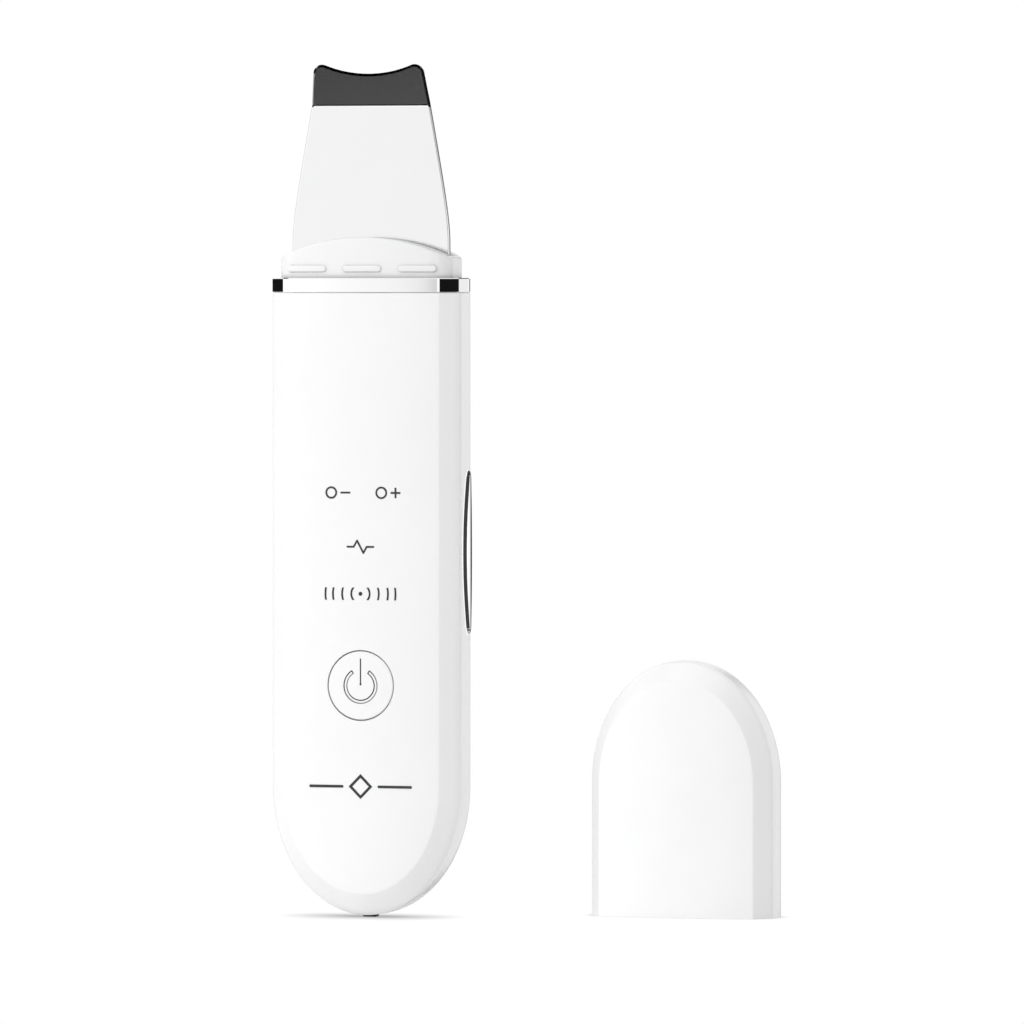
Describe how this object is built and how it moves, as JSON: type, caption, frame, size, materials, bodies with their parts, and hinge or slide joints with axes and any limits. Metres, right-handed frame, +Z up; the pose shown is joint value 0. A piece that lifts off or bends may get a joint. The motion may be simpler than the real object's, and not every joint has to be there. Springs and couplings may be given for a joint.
{
  "type": "skin scrubber",
  "caption": "Slim handheld ultrasonic skin scrubber: steel spatula, chrome trim ring, power button, side electrodes, port plug and a push-on cap standing beside it.",
  "frame": {"origin": "the point the handle stands on, under the port plug's pull tab at the handle's lower end", "axes": "+Z up along the handle to the blade's tip; the control face looks along -Y; +X to the right seen from the front"},
  "size_m": [0.1111, 0.039, 0.1926],
  "materials": {
    "white_shell": "moulded white plastic, high gloss",
    "white_neck": "moulded white plastic, gloss",
    "white_button": "moulded white plastic, gloss",
    "white_cap": "moulded white plastic, high gloss",
    "chrome_trim": "bright plating over plastic",
    "chrome_electrode": "polished conductive plating",
    "stainless_blade": "fine satin stainless steel",
    "gasket_silicone": "soft grey silicone",
    "seal_silicone": "soft white silicone",
    "damping_silicone": "soft dark grey silicone",
    "plug_rubber": "matt black silicone",
    "steel_small": "machined steel",
    "steel_mass": "turned steel",
    "switch_steel": "pressed steel cover",
    "port_steel": "nickel-plated steel",
    "horn_alloy": "turned aluminium alloy",
    "piezo_ceramic": "fired ceramic with silvered faces",
    "brass_contact": "bright sprung brass",
    "lead_insulation": "red insulated wire",
    "icon_grey": "grey filled engraving",
    "print_black": "black pad print",
    "black_plastic": "matt black moulding",
    "clear_guide": "clear moulded light guide",
    "led_lens": "yellow phosphor lens",
    "board_green": "green solder resist",
    "ferrite_core": "dark ferrite with copper winding",
    "cell_can": "wrapped pouch cell",
    "foam_pad": "closed-cell foam"
  },
  "bodies": {
    "handle": {"front_cover": "white_shell", "rear_shell": "white_shell", "housing_gasket": "gasket_silicone", "trim_ring": "chrome_trim", "neck_collar": "white_neck", "blade_seal": "seal_silicone", "spatula_blade": "stainless_blade", "blade_clamp": "steel_small", "blade_screws": "steel_small", "transducer_horn": "horn_alloy", "piezo_rings": "piezo_ceramic", "contact_lugs": "brass_contact", "back_mass": "steel_mass", "transducer_bolt": "steel_small", "damping_rings": "damping_silicone", "transducer_leads": "lead_insulation", "switch_body": "switch_steel", "mode_marks": "print_black", "front_mark": "print_black", "light_guide": "clear_guide", "mode_leds": "led_lens", "main_board": "board_green", "board_screws": "steel_small", "board_chips": "black_plastic", "driver_transformer": "ferrite_core", "battery": "cell_can", "battery_pad": "foam_pad", "battery_leads": "lead_insulation", "electrode_left": "chrome_electrode", "electrode_right": "chrome_electrode", "electrode_springs": "brass_contact", "charging_port": "port_steel", "port_tongue": "black_plastic"},
    "button": {"power_button": "white_button", "button_icon": "icon_grey"},
    "switch_plunger": {"switch_plunger": "black_plastic"},
    "port_plug": {"port_plug": "plug_rubber"},
    "cap": {"cap": "white_cap"}
  },
  "joints": [
    {"name": "power_button_press", "type": "slide", "parent": "handle", "child": "button", "axis": [0, 1, 0], "range_m": [0, 0.0004]},
    {"name": "switch_press", "type": "slide", "parent": "handle", "child": "switch_plunger", "axis": [0, 1, 0], "range_m": [0, 0.0004]},
    {"name": "port_plug_pull", "type": "slide", "parent": "handle", "child": "port_plug", "axis": [0, 0, -1], "range_m": [0, 0.006]},
    {"name": "cap_lift", "type": "slide", "parent": "handle", "child": "cap", "axis": [0, 0, 1], "range_m": [0, 0.2]}
  ],
  "couplings": [
    {"joint": "switch_press", "follows": "power_button_press", "ratio": 1}
  ]
}
